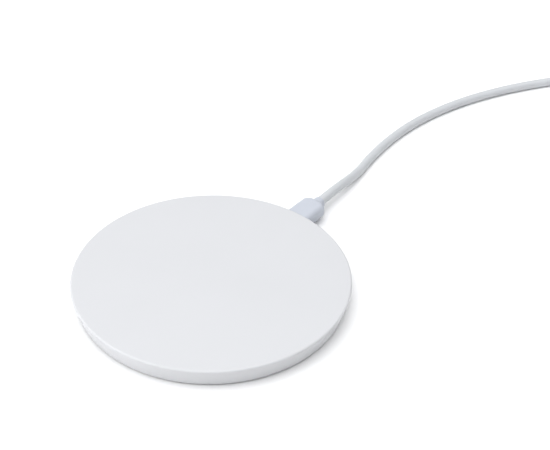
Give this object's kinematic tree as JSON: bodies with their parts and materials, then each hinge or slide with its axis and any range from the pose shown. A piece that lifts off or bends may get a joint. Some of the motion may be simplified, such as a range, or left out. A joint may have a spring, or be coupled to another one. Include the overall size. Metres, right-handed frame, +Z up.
{
  "type": "wireless charging pad",
  "caption": "Thin round wireless charging pad with a flat satin face, hidden coil and ferrite, rubber feet, and a USB cord that plugs into the back of its rim.",
  "frame": {"origin": "centre of the round pad, on the surface that its rubber feet stand on", "axes": "+Z up, out of the charging face; +Y from the pad's centre towards the USB socket in its rim"},
  "size_m": [0.1444, 0.2975, 0.009],
  "materials": {
    "cover_plastic": "fine satin moulding",
    "base_plastic": "fine moulded texture",
    "silicone": "soft matte",
    "screw_steel": "zinc plated",
    "adhesive_film": "thin tape",
    "copper_wire": "enamelled copper strands",
    "ferrite": "sintered, dull",
    "solder": "bright solder",
    "board_laminate": "green solder resist",
    "chip_resin": "moulded resin",
    "capacitor_ceramic": "tan ceramic",
    "lamp_resin": "clear over yellow",
    "clear_acrylic": "polished, clear",
    "plated_steel": "nickel plated",
    "black_nylon": "moulded nylon",
    "white_insulator": "moulded nylon",
    "gold_contacts": "gold flash",
    "plug_plastic": "soft moulded vinyl",
    "white_core": "moulded polypropylene",
    "cord_jacket": "smooth satin vinyl",
    "tie_fabric": "woven hook-and-loop"
  },
  "bodies": {
    "pad": {"top_cover": "cover_plastic", "base_plate": "base_plastic", "rubber_feet": "silicone", "base_screws": "screw_steel", "coil_adhesive": "adhesive_film", "charging_coil": "copper_wire", "ferrite_plate": "ferrite", "coil_solder_joints": "solder", "circuit_board": "board_laminate", "controller_chip": "chip_resin", "bridge_transistors": "chip_resin", "resonant_capacitors": "capacitor_ceramic", "input_capacitors": "capacitor_ceramic", "chip_resistors": "chip_resin", "input_inductor": "ferrite", "status_led": "lamp_resin", "light_pipe": "clear_acrylic", "usb_socket_shell": "plated_steel", "usb_socket_insulator": "black_nylon", "usb_socket_contacts": "gold_contacts"},
    "plug_and_cord": {"plug_overmould": "plug_plastic", "plug_inner_mould": "white_core", "plug_shell": "plated_steel", "plug_insulator": "black_nylon", "plug_contacts": "gold_contacts", "plug_latch_springs": "plated_steel", "cord_run": "cord_jacket", "cord_coil": "cord_jacket", "cord_tail": "cord_jacket", "cord_tie": "tie_fabric", "usb_a_overmould": "plug_plastic", "usb_a_inner_mould": "white_core", "usb_a_shell": "plated_steel", "usb_a_insulator": "white_insulator", "usb_a_contacts": "gold_contacts"}
  },
  "joints": [
    {"name": "plug_slide", "type": "slide", "parent": "pad", "child": "plug_and_cord", "axis": [0, 1, 0], "range_m": [0, 0.012]}
  ]
}
